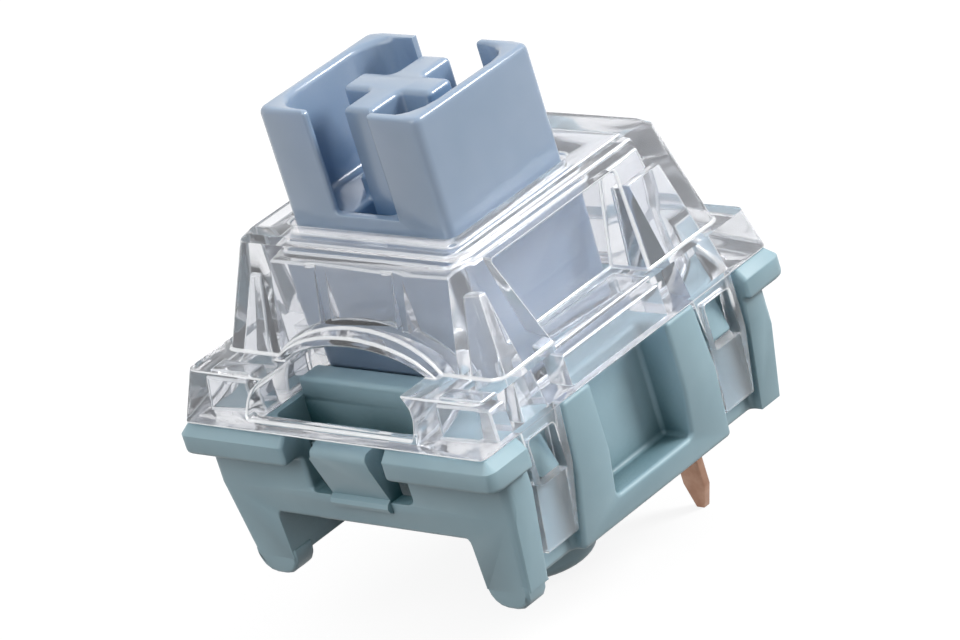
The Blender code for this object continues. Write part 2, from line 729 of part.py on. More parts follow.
def draw_legs(bm):
    """Four clip legs that hang beside the base's panels."""
    for side, end in corners():
        rings = []
        for height in (LEG_END_Z, LEG_SLOPE_TOP_Z, PLINTH_BASE_Z + BURY):
            x0 = side * (panel_x(height) + SLIDE_GAP)
            x1 = side * (leg_slope_x(min(height, LEG_SLOPE_TOP_Z)) - SEAT_GAP)
            inner = frame_half(height) + SEAT_GAP
            rings.append(level(square(x0, x1, end * inner, end * LEG_OUTER_Y), height))
        loft(bm, rings)


def draw_leg_windows(bm):
    """Window in each leg for its catch."""
    inner, outer = leg_window(CATCH_Z)
    for side, end in corners():
        x_range = (side * (panel_x(CATCH_Z) + SEAT_GAP), side * (BODY_HALF + PAST))
        z_range = (CATCH_Z - SLIDE_GAP, CATCH_Z + CATCH_HEIGHT + SLIDE_GAP)
        block(bm, x_range, (end * inner, end * outer), z_range)


def make_top_housing():
    """Clear snap-fit housing: plinth, tapered hood, light window and clip legs."""
    housing = shaped("top_housing", draw_plinth)
    add(housing, "hood", draw_hood)
    cut(housing, "hood_cavity", draw_hood_cavity)
    add(housing, "vault", draw_vault)
    cut(housing, "vault_opening", draw_vault_opening)
    cut(housing, "bar_gap", draw_bar_gap)
    cut(housing, "hood_recesses", draw_hood_recesses)
    cut(housing, "corner_cores", draw_corner_cores)
    cut(housing, "plinth_cores", draw_plinth_cores)
    add(housing, "window_ribs", draw_window_ribs)
    cut(housing, "stem_opening", draw_stem_opening)
    add(housing, "clip_legs", draw_legs)
    cut(housing, "leg_windows", draw_leg_windows)
    return housing


# Stem


def draw_skirt(bm):
    """Lower block of the stem, which slides in the chamber and stops under the roof."""
    outline = rounded(-SKIRT_HALF_X, SKIRT_HALF_X, -SKIRT_FRONT_Y, SKIRT_BACK_Y, GUARD_RADIUS)
    prism_z(bm, outline, SKIRT_BOTTOM_Z, SKIRT_TOP_Z)


def draw_guard(bm):
    """Outside of the dust guard."""
    outline = rounded(-GUARD_HALF_X, GUARD_HALF_X, -GUARD_FRONT_Y, GUARD_BACK_Y, GUARD_RADIUS)
    prism_z(bm, outline, SKIRT_TOP_Z - BURY, GUARD_TOP_Z)


def guard_inside():
    """Inside outline of the guard, its large corner rounds leaving thin lip ends."""
    front, back = GUARD_FRONT_Y - GUARD_LIP, GUARD_BACK_Y - GUARD_LIP
    return rounded(-GUARD_INNER_X, GUARD_INNER_X, -front, back, GUARD_INNER_RADIUS)


def draw_guard_room(bm):
    """Inside of the guard down to the level of the sill."""
    prism_z(bm, guard_inside(), SILL_Z, GUARD_TOP_Z + PAST)


def draw_guard_wells(bm):
    """Deeper wells in the guard's floor, before and behind the cross."""
    reach = CROSS_HALF - BURY
    for outer in (-(GUARD_FRONT_Y - GUARD_LIP), GUARD_BACK_Y - GUARD_LIP):
        y_range = (math.copysign(reach, outer), outer)
        block(bm, (-WELL_HALF, WELL_HALF), y_range, (WELL_Z, SILL_Z + BURY))


def draw_guard_gaps(bm):
    """Gaps between the guard's lips, over the sills."""
    z_range = (SILL_Z, GUARD_TOP_Z + PAST)
    block(bm, (-LIP_END_X, LIP_END_X), (-(GUARD_FRONT_Y + PAST), -CROSS_HALF), z_range)
    block(bm, (-LIP_END_X, LIP_END_X), (CROSS_HALF, GUARD_BACK_Y + PAST), z_range)


def draw_cross_webs(bm):
    """Low webs beside the cross's foot."""
    half = CROSS_ARM_Y / 2 + WEB_WIDTH
    block(bm, (-half, half), (-CROSS_HALF + BURY, CROSS_HALF - BURY), (SILL_Z - BURY, SILL_Z + WEB_RISE))


def draw_cross_bar_x(bm):
    """Bar of the cross that lies along X."""
    block(bm, (-CROSS_HALF, CROSS_HALF), (-CROSS_ARM_X / 2, CROSS_ARM_X / 2), (WELL_Z - BURY, CROSS_TOP_Z))


def draw_cross_bar_y(bm):
    """Bar of the cross that lies along Y."""
    block(bm, (-CROSS_ARM_Y / 2, CROSS_ARM_Y / 2), (-CROSS_HALF, CROSS_HALF), (WELL_Z - BURY, CROSS_TOP_Z))


def draw_spring_bore(bm):
    """Bore that takes the upper end of the return spring."""
    radius = COIL_R + WIRE_R + SPRING_POCKET_GAP
    prism_z(bm, circle(radius), SKIRT_BOTTOM_Z - PAST, SPRING_ROOF_Z)


def draw_pole(bm):
    """Pole down the stem's axis, with a bevelled tip."""
    tip = circle(POLE_R - POLE_TIP)
    full = circle(POLE_R)
    loft(bm, [level(tip, POLE_END_Z), level(full, POLE_END_Z + POLE_TIP), level(full, SPRING_ROOF_Z + BURY)])


def draw_cam_legs(bm):
    """Two legs at the back whose bumps hold the contact leaf away at rest."""
    root_y = SKIRT_BACK_Y - BURY
    half_flat = CAM_FLAT / 2
    profile = [
        (root_y, SKIRT_BOTTOM_Z), (CAM_LEG_Y, SKIRT_BOTTOM_Z), (CAM_LEG_Y, CAM_Z - half_flat - CAM_SLOPE),
        (CAM_Y, CAM_Z - half_flat), (CAM_Y, CAM_Z + half_flat), (CAM_LEG_Y, CAM_Z + half_flat + CAM_SLOPE),
        (CAM_LEG_Y, SKIRT_TOP_Z), (root_y, SKIRT_TOP_Z),
    ]
    for side in (-1, 1):
        prism_x(bm, profile, side * CAM_X - CAM_WIDTH / 2, side * CAM_X + CAM_WIDTH / 2)


def make_stem():
    """Sliding stem: skirt, dust guard, cross, pole and cam legs in one moulding."""
    stem = shaped("stem", draw_skirt)
    add(stem, "guard", draw_guard)
    cut(stem, "guard_room", draw_guard_room)
    cut(stem, "guard_wells", draw_guard_wells)
    cut(stem, "guard_gaps", draw_guard_gaps)
    add(stem, "cross_webs", draw_cross_webs)
    add(stem, "cross_bar_x", draw_cross_bar_x)
    add(stem, "cross_bar_y", draw_cross_bar_y)
    cut(stem, "spring_bore", draw_spring_bore)
    add(stem, "pole", draw_pole)
    add(stem, "cam_legs", draw_cam_legs)
    return stem


# Return spring


def coil_height(turn):
    """Height of the wire's centre after some turns: closed end turns, even pitch between them."""
    closed_pitch = 2 * WIRE_R * 1.06
    bottom = SPRING_BOTTOM_Z + WIRE_R
    top = SPRING_TOP_Z - WIRE_R
    open_turns = COIL_TURNS - 2 * CLOSED_TURNS
    open_pitch = (top - bottom - 2 * CLOSED_TURNS * closed_pitch) / open_turns
    open_part = min(max(turn - CLOSED_TURNS, 0.0), open_turns)
    return bottom + (turn - open_part) * closed_pitch + open_part * open_pitch


def make_return_spring():
    """Round-wire compression spring about the stem's axis."""
    curve = bpy.data.curves.new("return_spring", "CURVE")
    curve.dimensions = "3D"
    curve.bevel_depth = WIRE_R
    curve.bevel_resolution = 1
    curve.use_fill_caps = True
    spline = curve.splines.new("POLY")
    count = COIL_TURNS * TURN_POINTS + 1
    spline.points.add(count - 1)
    for index, point in enumerate(spline.points):
        turn = index / TURN_POINTS
        angle = 2 * math.pi * turn
        point.co = (COIL_R * math.cos(angle), COIL_R * math.sin(angle), coil_height(turn), 1.0)
    spring = bpy.data.objects.new("return_spring", curve)
    bpy.context.scene.collection.objects.link(spring)
    return spring


# Contacts


def pin_outline(x, width, top_z):
    """Flat pin with a tapered blunt tip at height 0, seen along Y."""
    half = width / 2
    return [
        (x - PIN_TIP_HALF, 0.0), (x + PIN_TIP_HALF, 0.0), (x + half, PIN_TIP_LENGTH),
        (x + half, top_z), (x - half, top_z), (x - half, PIN_TIP_LENGTH),
    ]


def draw_fixed_sheet(bm):
    """Upright contact sheet: a foot strip with a wing at its end and the contact upright."""
    left = -CHAMBER_HALF_X + SEAT_GAP
    strip_z = CONTACT_FOOT_Z + FIXED_STRIP_HEIGHT
    outline = [
        (left, CONTACT_FOOT_Z), (UPRIGHT_HALF, CONTACT_FOOT_Z), (UPRIGHT_HALF, UPRIGHT_TOP_Z),
        (-UPRIGHT_HALF, UPRIGHT_TOP_Z), (-UPRIGHT_HALF, strip_z), (-FIXED_WING_INNER_X, strip_z),
        (-FIXED_WING_INNER_X, FIXED_WING_TOP_Z), (left, FIXED_WING_TOP_Z),
    ]
    prism_y(bm, outline, FIXED_SHEET_Y, FIXED_SHEET_Y + SHEET)


def draw_fixed_tab(bm):
    """Tab folded forward from the sheet to the pin."""
    left = -CHAMBER_HALF_X + SEAT_GAP
    right = FIXED_PIN_X + FIXED_PIN_WIDTH / 2
    y_range = (FIXED_PIN_Y - SHEET / 2, FIXED_SHEET_Y + SHEET / 2)
    block(bm, (left, right), y_range, (CONTACT_FOOT_Z, CONTACT_FOOT_Z + SHEET))


def draw_fixed_pin(bm):
    """Pin of the fixed contact."""
    outline = pin_outline(FIXED_PIN_X, FIXED_PIN_WIDTH, CONTACT_FOOT_Z + SHEET / 2)
    prism_y(bm, outline, FIXED_PIN_Y - SHEET / 2, FIXED_PIN_Y + SHEET / 2)


def make_fixed_contact():
    """Stamped and folded fixed contact with its pin."""
    contact = shaped("fixed_contact", draw_fixed_sheet)
    add(contact, "fixed_tab", draw_fixed_tab)
    add(contact, "fixed_pin", draw_fixed_pin)
    return contact


def draw_terminal_plate(bm):
    """Plate that carries the leaf."""
    right = MOVING_PIN_X + MOVING_PIN_WIDTH / 2
    outline = square(-TERMINAL_HALF, right, CONTACT_FOOT_Z, TERMINAL_TOP_Z)
    prism_y(bm, outline, TERMINAL_Y, TERMINAL_Y + SHEET)


def draw_moving_pin(bm):
    """Pin of the leaf's terminal."""
    outline = pin_outline(MOVING_PIN_X, MOVING_PIN_WIDTH, CONTACT_FOOT_Z + SHEET)
    prism_y(bm, outline, TERMINAL_Y, TERMINAL_Y + SHEET)


def make_moving_terminal():
    """Stamped terminal that the leaf is fixed to, with its pin."""
    terminal = shaped("moving_terminal", draw_terminal_plate)
    add(terminal, "moving_pin", draw_moving_pin)
    return terminal


def draw_leaf(bm):
    """Thin leaf: upright foot on the terminal, a step forward, then the arms' run."""
    front = [
        (LEAF_BASE_Y, LEAF_BASE_Z), (LEAF_BASE_Y, LEAF_BEND_Z),
        (LEAF_FRONT_Y, LEAF_RUN_Z), (LEAF_FRONT_Y, LEAF_TOP_Z),
    ]
    back = [(y + LEAF_THICK, z) for y, z in front[::-1]]
    prism_x(bm, front + back, -LEAF_HALF, LEAF_HALF)


def draw_leaf_window(bm):
    """Window between the leaf's arms, which the fixed contact looks through."""
    half = LEAF_HALF - LEAF_ARM
    y_range = (LEAF_FRONT_Y - PAST, LEAF_BASE_Y + PAST)
    block(bm, (-half, half), y_range, (LEAF_BEND_Z + BURY, LEAF_TOP_Z - LEAF_BAND))


def make_contact_leaf():
    """Springy leaf with two arms and a band across the top."""
    leaf = shaped("contact_leaf", draw_leaf)
    cut(leaf, "leaf_window", draw_leaf_window)
    return leaf


def draw_fixed_point(bm):
    """Three-sided contact bar along X, its ridge facing the leaf."""
    base = FIXED_SHEET_Y + SHEET + LEAF_SEAT_GAP
    profile = [(base, POINT_Z - POINT_HALF), (base + FIXED_POINT_RISE, POINT_Z), (base, POINT_Z + POINT_HALF)]
    prism_x(bm, profile, -POINT_LENGTH / 2, POINT_LENGTH / 2)


def draw_moving_point(bm):
    """Three-sided contact bar along Z, crossing the fixed one."""
    base = LEAF_FRONT_Y - LEAF_SEAT_GAP
    outline = [(-POINT_HALF, base), (0.0, base - MOVING_POINT_RISE), (POINT_HALF, base)]
    prism_z(bm, outline, POINT_Z - POINT_LENGTH / 2, POINT_Z + POINT_LENGTH / 2)


# Finish and placing


def linear(hex_colour):
    """A hex colour in linear light."""
    channels = []
    for start in (0, 2, 4):
        value = int(hex_colour[start:start + 2], 16) / 255
        channels.append(value / 12.92 if value <= 0.04045 else ((value + 0.055) / 1.055) ** 2.4)
    return (*channels, 1.0)


def finish(obj, name, hex_colour, roughness, metallic=0.0, transmission=0.0):
    """Give an object its own plain surface material."""
    material = bpy.data.materials.new(name)
    material.use_nodes = True
    shader = material.node_tree.nodes["Principled BSDF"]
    shader.inputs["Base Color"].default_value = linear(hex_colour)
    shader.inputs["Roughness"].default_value = roughness
    shader.inputs["Metallic"].default_value = metallic
    shader.inputs["Transmission Weight"].default_value = transmission
    obj.data.materials.append(material)


def set_origin(obj, x, y, z):
    """Move an object's origin and leave its shape where it is."""
    for vertex in obj.data.vertices:
        vertex.co.x -= x
        vertex.co.y -= y
        vertex.co.z -= z
    obj.location = (x, y, z)


def hang_on_hinge(pieces):
    """Parent the leaf and its point to an empty on the line that the leaf bends about."""
    hinge = bpy.data.objects.new("leaf_hinge", None)
    hinge.location = (0.0, LEAF_HINGE_Y, LEAF_BASE_Z)
    bpy.context.scene.collection.objects.link(hinge)
    for piece in pieces:
        set_origin(piece, *hinge.location)
        piece.location = (0.0, 0.0, 0.0)
        piece.parent = hinge


def main():
    """Build every piece of the switch."""
    for obj in list(bpy.data.objects):
        bpy.data.objects.remove(obj, do_unlink=True)
    finish(make_bottom_housing(), "teal_nylon", "7FA5AC", 0.45)
    finish(make_top_housing(), "clear_polycarbonate", "F2F4F5", 0.08, transmission=1.0)
    stem = make_stem()
    set_origin(stem, 0.0, 0.0, SKIRT_TOP_Z)
    finish(stem, "blue_acetal", "9AB2CC", 0.4)
    finish(make_return_spring(), "spring_steel", "C8CACC", 0.3, metallic=1.0)
    finish(make_fixed_contact(), "fixed_copper_alloy", "B8835F", 0.35, metallic=1.0)
    finish(make_moving_terminal(), "terminal_copper_alloy", "B8835F", 0.35, metallic=1.0)
    leaf = make_contact_leaf()
    finish(leaf, "leaf_copper_alloy", "C08F62", 0.3, metallic=1.0)
    finish(shaped("fixed_crosspoint", draw_fixed_point), "fixed_gold", "D9B25A", 0.25, metallic=1.0)
    moving_point = shaped("moving_crosspoint", draw_moving_point)
    finish(moving_point, "moving_gold", "D9B25A", 0.25, metallic=1.0)
    hang_on_hinge([leaf, moving_point])


main()
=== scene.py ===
import math

import bmesh
import bpy
import numpy as np
from mathutils import Matrix, Vector


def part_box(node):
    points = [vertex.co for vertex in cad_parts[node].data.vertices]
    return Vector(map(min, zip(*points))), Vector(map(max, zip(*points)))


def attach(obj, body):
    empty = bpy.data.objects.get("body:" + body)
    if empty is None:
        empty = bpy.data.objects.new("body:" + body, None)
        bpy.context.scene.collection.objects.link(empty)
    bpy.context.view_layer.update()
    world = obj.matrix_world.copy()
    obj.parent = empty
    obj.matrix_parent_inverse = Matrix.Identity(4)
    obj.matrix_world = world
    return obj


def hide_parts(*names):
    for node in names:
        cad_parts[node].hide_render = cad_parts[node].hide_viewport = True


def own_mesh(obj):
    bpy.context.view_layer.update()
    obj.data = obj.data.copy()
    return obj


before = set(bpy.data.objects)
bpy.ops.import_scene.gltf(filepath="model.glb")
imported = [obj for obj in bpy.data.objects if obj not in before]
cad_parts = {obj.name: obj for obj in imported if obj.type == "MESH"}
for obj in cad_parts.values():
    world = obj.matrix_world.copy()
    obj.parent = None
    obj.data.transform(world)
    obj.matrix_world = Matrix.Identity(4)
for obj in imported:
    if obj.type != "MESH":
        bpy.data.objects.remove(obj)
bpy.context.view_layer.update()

MM = 0.001

# Camera, as solved from the photograph's edges: angles in degrees, sensor's width in millimetres
VIEW_AZIMUTH = 48.46
VIEW_ELEVATION = 22.885
VIEW_ROLL = 17.465
VIEW_PLACE = Vector((129.88, -114.68, 82.82)) * MM
SENSOR_WIDTH = 36.0
FRAME_WIDTH = 960
FOCAL_PIXELS = 5554
CLIP_NEAR = 10 * MM
CLIP_FAR = 2.0

# Widths of the rounded edges: mouldings have a real radius, stamped strip and drawn bars hardly any
BASE_EDGE = 0.18 * MM
HOOD_EDGE = 0.09 * MM
STEM_EDGE = 0.22 * MM
TERMINAL_EDGE = 0.03 * MM
STRIP_EDGE = 0.02 * MM

# Angles in degrees. Faces that meet at less than the first are merged, those at more than the second
# bound each other, and those at more than the third get a rounded edge. Edges that turn by less than
# the last run on.
FLAT_ANGLE = 0.5
CREASE_ANGLE = 1.0
SHARP_ANGLE = 28
RUN_ON_ANGLE = 40

# Room for rounding, as shares of the lengths that limit it, and where along an edge it is measured
RUN_ON_SHARE = 0.8
CORNER_SHARE = 0.42
FACE_SHARE = 0.45
PROBE_SHARES = (0.25, 0.5, 0.75)

# Easing, where rounded edges run into each other: most rounds, factor and reach of each, and the share
# of full rounding under which an edge stays sharp
EASING_ROUNDS = 8
EASING = 0.5
EASING_REACH = 0.25 * MM
LEAST_WEIGHT = 0.1

# The least that counts: lengths in metres, areas in square metres, a share of an edge, a turn in radians
MERGE_REACH = 0.0005 * MM
SAME_PLACE = 1e-6
SAME_LINE = 1e-9
SLIVER_AREA = 1e-11
PARALLEL = 1e-16
EDGE_END = 0.001
LEAST_TURN = 0.001

# A face with fewer corners than this is eased as a whole when it turns over
SMALL_RING = 6

# Return spring
WIRE_RADIUS = 0.125 * MM
COIL_TURNS = 13
CLOSED_TURNS = 1.5
CLOSED_SPACING = 1.06
STEPS_PER_TURN = 48
WIRE_SIDES = 12

# The clear moulding's edges turn white over this height, from the clip legs up to the plinth
CLEAR_BELOW = 7.9 * MM
WHITE_ABOVE = 8.3 * MM

# The part of the noise's range over which a clouded colour drifts
CLOUD_RANGE = (0.35, 0.7)

# Light: places, power in watts, width of the square lamps, and strengths where 1 is white
KEY_PLACE = Vector((240, 210, 215)) * MM
KEY_POWER = 1.0
KEY_SIZE = 120 * MM
FILL_PLACE = Vector((20, -290, 275)) * MM
FILL_POWER = 0.38
FILL_SIZE = 240 * MM
LAMP_AIM = Vector((0, 0, 10)) * MM
SKY_LOW = 0.27
SKY_HIGH = 0.7
FLOOR_HALF = 400 * MM
FLOOR_COLOUR = (0.2, 0.2, 0.2, 1.0)
FLOOR_BOUNCE = (0.04, 0.04, 0.04, 1.0)
FLOOR_LIFT = 0.88


def linear(hex_colour):
    """sRGB hex to linear light, with full alpha."""
    srgb = np.array([int(hex_colour[i:i + 2], 16) for i in (0, 2, 4)]) / 255
    light = np.where(srgb <= 0.04045, srgb / 12.92, ((srgb + 0.055) / 1.055) ** 2.4)
    return (*(float(x) for x in light), 1.0)


def add_node(tree, kind, inputs=None, **settings):
    """One shader node: settings are its attributes, and inputs hold values or sockets to link."""
    node = tree.nodes.new("ShaderNode" + kind)
    for name, value in settings.items():
        setattr(node, name, value)
    for name, value in (inputs or {}).items():
        if isinstance(value, bpy.types.NodeSocket):
            tree.links.new(value, node.inputs[name])
        else:
            node.inputs[name].default_value = value
    return node


def new_material(name):
    """An empty node material and its tree."""
    material = bpy.data.materials.new(name)
    material.use_nodes = True
    material.node_tree.nodes.clear()
    return material, material.node_tree


def close_material(tree, shader):
    """Send a shader to the material's surface."""
    add_node(tree, "OutputMaterial", {"Surface": shader})


# Materials, with patterns at their real size unless the text says that they are drawn coarser


def clouded(tree, place, size, detail, deeper, paler):
    """A colour that drifts between two in clouds of the given size."""
    clouds = add_node(tree, "TexNoise", {"Vector": place, "Scale": 1 / size, "Detail": detail})
    drift = add_node(tree, "ValToRGB", {"Fac": clouds.outputs["Fac"]})
    for stop, position, colour in zip(drift.color_ramp.elements, CLOUD_RANGE, (deeper, paler)):
        stop.position = position
        stop.color = linear(colour)
    return drift.outputs["Color"]


def painted_hollow_shade(tree, surface, reach, low, high, shade_colour):
    """Painted shade: the surface's colour, turned to a darker one in hollows, where shade falls: all of it
    where only the low share of the space within reach is open, none of it from the high share up. Only the
    piece's own walls count."""
    # Painted shade: occlusion darkens the colour in recesses
    space = add_node(tree, "AmbientOcclusion", {"Distance": reach}, samples=6, only_local=True)
    share = add_node(tree, "MapRange", {"Value": space.outputs["AO"], "From Min": low, "From Max": high})
    colour = add_node(tree, "MixRGB", {
        "Fac": share.outputs["Result"], "Color1": linear(shade_colour), "Color2": surface,
    })
    return colour.outputs["Color"]


def moulded_nylon():
    """Dyed nylon, injection moulded: soft satin sheen, slight glow in thin walls, faint flow clouds.
    Painted shade: the colour turns deeper and greener in the recesses, where shade falls.
    The grain of the mould is finer, about 0.03 mm, and drawn six times as coarse to show."""
    material, tree = new_material("moulded_nylon_teal")
    place = add_node(tree, "TexCoord").outputs["Object"]
    surface = clouded(tree, place, 3.0 * MM, 3.0, "A0BEC9", "ABC8D2")
    # Painted shade: darker, greener colour in the piece's own recesses
    colour = painted_hollow_shade(tree, surface, 3.5 * MM, 0.3, 0.7, "1C4F56")
    grain = add_node(tree, "TexNoise", {"Vector": place, "Scale": 1 / (0.18 * MM), "Detail": 2.0})
    bump = add_node(tree, "Bump", {"Height": grain.outputs["Fac"], "Strength": 0.12, "Distance": 0.02 * MM})
    shader = add_node(tree, "BsdfPrincipled", {
        "Base Color": colour, "Roughness": 0.42, "IOR": 1.53,
        "Subsurface Weight": 0.25, "Subsurface Radius": (1.0, 1.2, 1.3), "Subsurface Scale": 0.4 * MM,
        "Normal": bump.outputs["Normal"],
    })
    close_material(tree, shader.outputs["BSDF"])
    return material


def moulded_acetal():
    """Dyed acetal, injection moulded: waxy, smooth and milky, with a bright line along its lit edges
    from the glossy skin that a polished mould leaves. The mould's fine marks, about 0.03 mm, are drawn
    five times as coarse to show."""
    material, tree = new_material("moulded_acetal_blue")
    place = add_node(tree, "TexCoord").outputs["Object"]
    surface = clouded(tree, place, 2.5 * MM, 2.0, "96ABC3", "9FB2C9")
    # Painted shade: darker, bluer colour in the piece's own hollows
    colour = painted_hollow_shade(tree, surface, 2.5 * MM, 0.2, 0.85, "6489B0")
    grain = add_node(tree, "TexNoise", {"Vector": place, "Scale": 1 / (0.15 * MM), "Detail": 2.0})
    bump = add_node(tree, "Bump", {"Height": grain.outputs["Fac"], "Strength": 0.08, "Distance": 0.02 * MM})
    shader = add_node(tree, "BsdfPrincipled", {
        "Base Color": colour, "Roughness": 0.28, "IOR": 1.48,
        "Coat Weight": 0.75, "Coat Roughness": 0.17,
        "Subsurface Weight": 0.3, "Subsurface Radius": (1.0, 1.1, 1.3), "Subsurface Scale": 0.5 * MM,
        "Normal": bump.outputs["Normal"],
    })
    close_material(tree, shader.outputs["BSDF"])
    return material


def let_lamps_through(tree, shader, tint):
    """Clear plastic for the camera, and only a tint for the lamps, so that they light what is behind
    it."""
    passing = add_node(tree, "BsdfTransparent", {"Color": linear(tint)})
    lamp_ray = add_node(tree, "LightPath").outputs["Is Shadow Ray"]
    either = add_node(tree, "MixShader", {0: lamp_ray, 1: shader, 2: passing.outputs["BSDF"]})
    return either.outputs["Shader"]


def clear_polycarbonate():
    """Polycarbonate, moulded clear: sharp reflections, a faint haze and slow waves where it cooled. The
    index is set below the real 1.58, to match how little the walls bend what is behind them."""
    material, tree = new_material("clear_polycarbonate")
    place = add_node(tree, "TexCoord").outputs["Object"]
    waves = add_node(tree, "TexNoise", {"Vector": place, "Scale": 1 / (1.6 * MM), "Detail": 1.0})
    bump = add_node(tree, "Bump", {"Height": waves.outputs["Fac"], "Strength": 0.15, "Distance": 0.03 * MM})
    shader = add_node(tree, "BsdfPrincipled", {
        "Base Color": linear("F8F9FC"), "Roughness": 0.045, "IOR": 1.35, "Transmission Weight": 0.885,
        "Normal": bump.outputs["Normal"],
    })
    close_material(tree, let_lamps_through(tree, shader.outputs["BSDF"], "C2C6CB"))
    return material


def clear_rim():
    """The rounded edges of the clear moulding. Light carried inside the walls turns back here, as off a
    mirror, so they read white: part metallic stands in for that total reflection. The clip legs' edges,
    down over the base, carry none of it and stay clear."""
    material, tree = new_material("clear_polycarbonate_rim")
    place = add_node(tree, "TexCoord").outputs["Object"]
    frost = add_node(tree, "TexNoise", {"Vector": place, "Scale": 1 / (0.25 * MM), "Detail": 2.0})
    rough = add_node(tree, "MapRange", {"Value": frost.outputs["Fac"], "To Min": 0.12, "To Max": 0.28})
    height = add_node(tree, "SeparateXYZ", {0: place}).outputs["Z"]
    rise = {"Value": height, "From Min": CLEAR_BELOW, "From Max": WHITE_ABOVE}
    turned = add_node(tree, "MapRange", {**rise, "To Min": 0.0, "To Max": 0.55})
    passed = add_node(tree, "MapRange", {**rise, "To Min": 0.87, "To Max": 0.35})
    shader = add_node(tree, "BsdfPrincipled", {
        "Base Color": linear("F8FAFC"), "Roughness": rough.outputs["Result"], "IOR": 1.35,
        "Metallic": turned.outputs["Result"], "Transmission Weight": passed.outputs["Result"],
    })
    close_material(tree, let_lamps_through(tree, shader.outputs["BSDF"], "A8AAAD"))
    return material


def stamped_bronze():
    """Phosphor bronze strip, stamped and left bare: brown-pink metal, tarnished in patches. The rolling
    lines are finer, about 0.02 mm, and drawn three times as coarse to show."""
    material, tree = new_material("stamped_phosphor_bronze")
    place = add_node(tree, "TexCoord").outputs["Object"]
    lines = add_node(tree, "Mapping", {"Vector": place, "Scale": (1.0, 1.0, 0.08)})
    rolling = add_node(tree, "TexNoise", {
        "Vector": lines.outputs["Vector"], "Scale": 1 / (0.06 * MM), "Detail": 2.0,
    })
    tarnish = clouded(tree, place, 0.9 * MM, 4.0, "9E7762", "BF9E8A")
    bump = add_node(tree, "Bump", {"Height": rolling.outputs["Fac"], "Strength": 0.2, "Distance": 0.01 * MM})
    shader = add_node(tree, "BsdfPrincipled", {
        "Base Color": tarnish, "Roughness": 0.42, "Metallic": 0.85,
        "Normal": bump.outputs["Normal"],
    })
    close_material(tree, shader.outputs["BSDF"])
    return material


def drawn_steel():
    """Spring steel wire, drawn: bright, in places duller where the die dragged."""
    material, tree = new_material("drawn_spring_steel")
    place = add_node(tree, "TexCoord").outputs["Object"]
    drag = add_node(tree, "TexNoise", {"Vector": place, "Scale": 1 / (0.3 * MM), "Detail": 3.0})
    rough = add_node(tree, "MapRange", {"Value": drag.outputs["Fac"], "To Min": 0.2, "To Max": 0.38})
    shader = add_node(tree, "BsdfPrincipled", {
        "Base Color": linear("C9CBCE"), "Roughness": rough.outputs["Result"], "Metallic": 1.0,
    })
    close_material(tree, shader.outputs["BSDF"])
    return material


def contact_gold():
    """Gold alloy contact profile, drawn and welded on: warm and smooth, in places a little duller."""
    material, tree = new_material("contact_gold_alloy")
    place = add_node(tree, "TexCoord").outputs["Object"]
    wear = add_node(tree, "TexNoise", {"Vector": place, "Scale": 1 / (0.2 * MM), "Detail": 3.0})
    rough = add_node(tree, "MapRange", {"Value": wear.outputs["Fac"], "To Min": 0.18, "To Max": 0.34})
    shader = add_node(tree, "BsdfPrincipled", {
        "Base Color": linear("E0BC68"), "Roughness": rough.outputs["Result"], "Metallic": 1.0,
    })
    close_material(tree, shader.outputs["BSDF"])
    return material


# Pieces


def corner_room(edge):
    """How wide an edge can be rounded before its ends run into the edges that it meets, or its arc
    closes up. Where it runs on along an arc, that is a share of the arc's radius, the mean of the two
    lengths over the turn between them. At a corner it is a share of the other edge's length, less where
    that edge is rounded too and stands at a narrow angle."""
    room = 1.0
    for vert in edge.verts:
        along = (edge.other_vert(vert).co - vert.co).normalized()
        for other in vert.link_edges:
            if other is edge:
                continue
            away = other.other_vert(vert).co - vert.co
            angle = along.angle(away, math.pi)
            turn = max(math.pi - angle, LEAST_TURN)
            if turn < math.radians(RUN_ON_ANGLE):
                limit = RUN_ON_SHARE * (edge.calc_length() + away.length) / 2 / turn
            elif other.calc_face_angle(0.0) > math.radians(SHARP_ANGLE):
                limit = CORNER_SHARE * away.length * min(1.0, math.tan(angle / 2))
            else:
                limit = CORNER_SHARE * away.length
            room = min(room, limit)
    return room


def face_room(seams, bounds):
    """For each edge, under half the way across the narrower of its two faces: the nearest crossing of a
    line that leaves the edge square to it, in the face, with any edge that bounds the face."""
    first = np.array([bound.verts[0].co for bound in bounds])
    last = np.array([bound.verts[1].co for bound in bounds])
    room = np.ones(len(seams))
    for index, seam in enumerate(seams):
        for loop in seam.link_loops:
            start, stop = loop.vert.co, loop.link_loop_next.vert.co
            along = (stop - start).normalized()
            normal = loop.face.normal
            axes = np.array([normal.cross(along), along, normal])
            for share in PROBE_SHARES:
                probe = np.array(start.lerp(stop, share))
                x0, y0, z0 = axes @ (first - probe).T
                x1, y1, z1 = axes @ (last - probe).T
                in_face = (np.abs(z0) < SAME_PLACE) & (np.abs(z1) < SAME_PLACE)
                met = in_face & (y0 * y1 <= 0) & (np.abs(y1 - y0) > SAME_LINE)
                across = x0[met] - y0[met] * (x1[met] - x0[met]) / (y1[met] - y0[met])
                across = across[across > SAME_PLACE]
                if across.size:
                    room[index] = min(room[index], FACE_SHARE * across.min())
    return room


